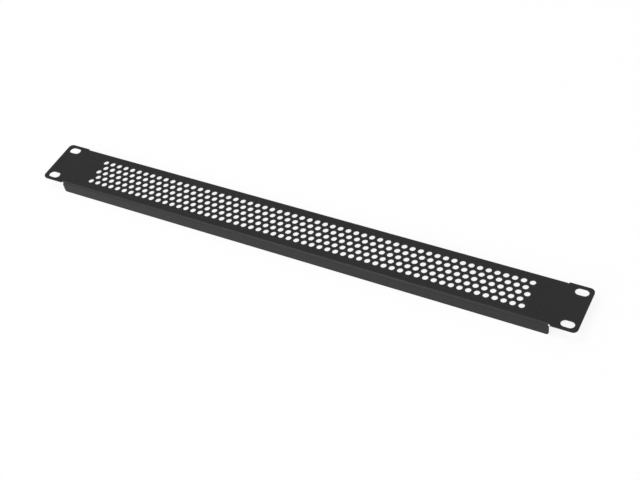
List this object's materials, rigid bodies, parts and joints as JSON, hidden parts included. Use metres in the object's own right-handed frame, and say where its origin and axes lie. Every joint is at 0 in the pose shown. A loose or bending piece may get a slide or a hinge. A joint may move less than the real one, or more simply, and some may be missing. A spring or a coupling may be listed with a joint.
{
  "type": "rack blanking panel",
  "caption": "One-unit rack blanking panel folded from perforated sheet steel, with staggered round air holes and a slot at each corner.",
  "frame": {"origin": "on the back of the ears, which bears on the rack rails, midway between the four slots", "axes": "+X along the panel, +Y across its height towards the shallower flange, +Z out of its front face"},
  "size_m": [0.4826, 0.0436, 0.0115],
  "materials": {
    "black_powder_coat": "satin"
  },
  "bodies": {
    "root": {"blanking_panel": "black_powder_coat"}
  },
  "joints": []
}
